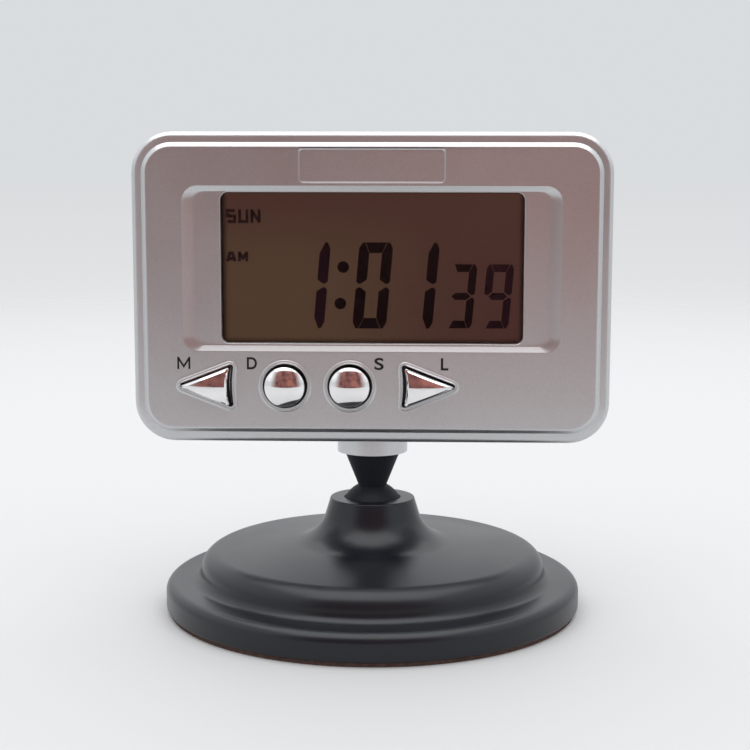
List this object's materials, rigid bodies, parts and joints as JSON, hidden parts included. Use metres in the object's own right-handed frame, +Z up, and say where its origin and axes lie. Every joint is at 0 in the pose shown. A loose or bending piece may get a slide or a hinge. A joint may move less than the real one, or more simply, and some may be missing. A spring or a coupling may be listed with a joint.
{
  "type": "digital alarm clock",
  "caption": "Small digital alarm clock: silver rounded head with an LCD and chromed push buttons, on a black stepped round foot with a ball joint.",
  "frame": {"origin": "middle of the foot pad's underside, on the stem axis", "axes": "+Z up along the stem, front of the clock faces -Y, +X to the viewer's right"},
  "size_m": [0.082, 0.0736, 0.084],
  "materials": {
    "silver_paint": "satin metallic silver paint over moulded plastic",
    "black_plastic": "satin black moulded plastic",
    "chrome": "bright chrome plating",
    "window_clear": "polished clear acrylic",
    "display_glass": "dark amber brown liquid crystal cell",
    "light_acrylic": "frosted clear acrylic",
    "white_plastic": "matt white moulded plastic",
    "board_green": "green solder mask",
    "black_epoxy": "black epoxy and component bodies",
    "steel": "bright steel and nickel plate",
    "grey_rubber": "grey silicone rubber",
    "foam_brown": "matt reddish brown foam",
    "amber_led": "moulded lamp body"
  },
  "bodies": {
    "base": {"base_shell": "black_plastic", "foot_pad": "foam_brown", "base_plate": "black_plastic", "plate_screws": "steel", "base_weight": "steel", "ball_retainer": "black_plastic", "retainer_screws": "steel", "friction_ring": "grey_rubber"},
    "cup": {"ball_cup": "black_plastic"},
    "stud": {"ball_stud": "black_plastic", "stem_washer": "steel", "stem_screw": "steel"},
    "head": {"stem_socket": "silver_paint", "front_case": "silver_paint", "rear_case": "silver_paint", "case_screws": "steel", "display_window": "window_clear", "lcd_panel": "display_glass", "light_guide": "light_acrylic", "reflector_film": "white_plastic", "backlight_leds": "amber_led", "zebra_strip": "grey_rubber", "lcd_holder": "white_plastic", "main_board": "board_green", "board_screws": "steel", "switch_bodies": "black_epoxy", "controller_chip": "black_epoxy", "quartz_crystal": "steel", "capacitors": "black_epoxy", "sounder": "black_epoxy", "button_cells": "steel", "contact_negative": "steel", "contact_positive": "steel"},
    "door": {"battery_door": "silver_paint", "door_contact": "steel"},
    "left_arrow": {"left_arrow_button": "chrome", "left_arrow_pin": "white_plastic"},
    "round_left": {"round_button_left": "chrome", "round_left_pin": "white_plastic"},
    "round_right": {"round_button_right": "chrome", "round_right_pin": "white_plastic"},
    "right_arrow": {"right_arrow_button": "chrome", "right_arrow_pin": "white_plastic"}
  },
  "joints": [
    {"name": "swivel", "type": "hinge", "parent": "base", "child": "cup", "pos_m": [0, 0, 0.01688], "axis": [0, 0, 1], "continuous": true},
    {"name": "tilt", "type": "hinge", "parent": "cup", "child": "stud", "pos_m": [0, 0, 0.01688], "axis": [1, 0, 0], "range_deg": [-25, 25]},
    {"name": "head_turn", "type": "hinge", "parent": "stud", "child": "head", "pos_m": [0, 0, 0.01688], "axis": [0, 0, 1], "continuous": true},
    {"name": "left_arrow_press", "type": "slide", "parent": "head", "child": "left_arrow", "axis": [0, 1, 0], "range_m": [0, 0.0005], "stiffness_N_per_m": 600, "springref_m": -0.001},
    {"name": "round_left_press", "type": "slide", "parent": "head", "child": "round_left", "axis": [0, 1, 0], "range_m": [0, 0.0005], "stiffness_N_per_m": 600, "springref_m": -0.001},
    {"name": "round_right_press", "type": "slide", "parent": "head", "child": "round_right", "axis": [0, 1, 0], "range_m": [0, 0.0005], "stiffness_N_per_m": 600, "springref_m": -0.001},
    {"name": "right_arrow_press", "type": "slide", "parent": "head", "child": "right_arrow", "axis": [0, 1, 0], "range_m": [0, 0.0005], "stiffness_N_per_m": 600, "springref_m": -0.001},
    {"name": "door_slide", "type": "slide", "parent": "head", "child": "door", "axis": [0, 0, -1], "range_m": [0, 0.013]}
  ]
}
